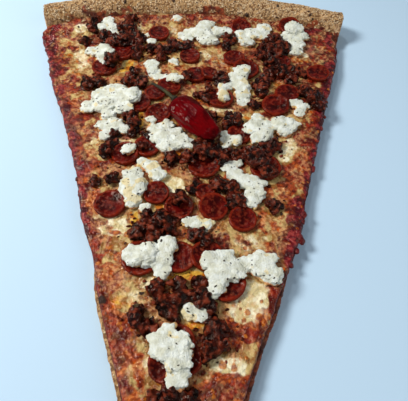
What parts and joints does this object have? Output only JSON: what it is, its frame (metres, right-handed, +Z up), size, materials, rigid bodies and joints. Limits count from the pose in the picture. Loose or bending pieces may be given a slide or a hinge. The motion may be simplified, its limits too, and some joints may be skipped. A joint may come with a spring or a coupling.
{
  "type": "sausage pizza slice",
  "caption": "Jumbo wedge slice of baked sausage pizza with a rounded crust rim, sauce, melted cheese, sausage coins and crumbles, ricotta dollops and a roasted red chili.",
  "frame": {"origin": "on the flat underside, midway between the tip and the outer edge of the crust, on the slice's middle line", "axes": "+Y from the tip to the crust rim, +Z up through the toppings, +X to the right when seen from the tip"},
  "size_m": [0.2589, 0.434, 0.0245],
  "materials": {
    "baked_dough": "dry matt baked crust, tan with darker specks",
    "tomato_sauce": "wet dark red sauce",
    "melted_cheese": "melted cheese, cream with toasted orange-brown spots",
    "sliced_sausage": "oily dark red cured sausage",
    "crumbled_sausage": "craggy dark brown fried sausage",
    "ricotta": "soft white curd",
    "chili_skin": "shiny wrinkled dark red skin",
    "chili_stalk": "dull dark green stalk"
  },
  "bodies": {
    "root": {"chili_stalk": "chili_stalk", "mozzarella": "melted_cheese", "pizza_crust": "baked_dough", "red_chili": "chili_skin", "ricotta_01": "ricotta", "ricotta_02": "ricotta", "ricotta_03": "ricotta", "ricotta_04": "ricotta", "ricotta_05": "ricotta", "ricotta_06": "ricotta", "ricotta_07": "ricotta", "ricotta_08": "ricotta", "ricotta_09": "ricotta", "ricotta_10": "ricotta", "ricotta_11": "ricotta", "ricotta_12": "ricotta", "ricotta_13": "ricotta", "ricotta_14": "ricotta", "ricotta_15": "ricotta", "ricotta_16": "ricotta", "ricotta_17": "ricotta", "ricotta_18": "ricotta", "ricotta_19": "ricotta", "ricotta_20": "ricotta", "ricotta_21": "ricotta", "ricotta_22": "ricotta", "sausage_coin_01": "sliced_sausage", "sausage_coin_02": "sliced_sausage", "sausage_coin_03": "sliced_sausage", "sausage_coin_04": "sliced_sausage", "sausage_coin_05": "sliced_sausage", "sausage_coin_06": "sliced_sausage", "sausage_coin_07": "sliced_sausage", "sausage_coin_08": "sliced_sausage", "sausage_coin_09": "sliced_sausage", "sausage_coin_10": "sliced_sausage", "sausage_coin_11": "sliced_sausage", "sausage_coin_12": "sliced_sausage", "sausage_coin_13": "sliced_sausage", "sausage_coin_14": "sliced_sausage", "sausage_coin_15": "sliced_sausage", "sausage_coin_16": "sliced_sausage", "sausage_heap_01": "crumbled_sausage", "sausage_heap_02": "crumbled_sausage", "sausage_heap_03": "crumbled_sausage", "sausage_heap_04": "crumbled_sausage", "sausage_heap_05": "crumbled_sausage", "sausage_heap_06": "crumbled_sausage", "sausage_heap_07": "crumbled_sausage", "sausage_heap_08": "crumbled_sausage", "sausage_heap_09": "crumbled_sausage", "sausage_heap_10": "crumbled_sausage", "sausage_heap_11": "crumbled_sausage", "sausage_heap_12": "crumbled_sausage", "sausage_heap_13": "crumbled_sausage", "sausage_heap_14": "crumbled_sausage", "sausage_heap_15": "crumbled_sausage", "sausage_heap_16": "crumbled_sausage", "sausage_heap_17": "crumbled_sausage", "tomato_sauce": "tomato_sauce"}
  },
  "joints": []
}
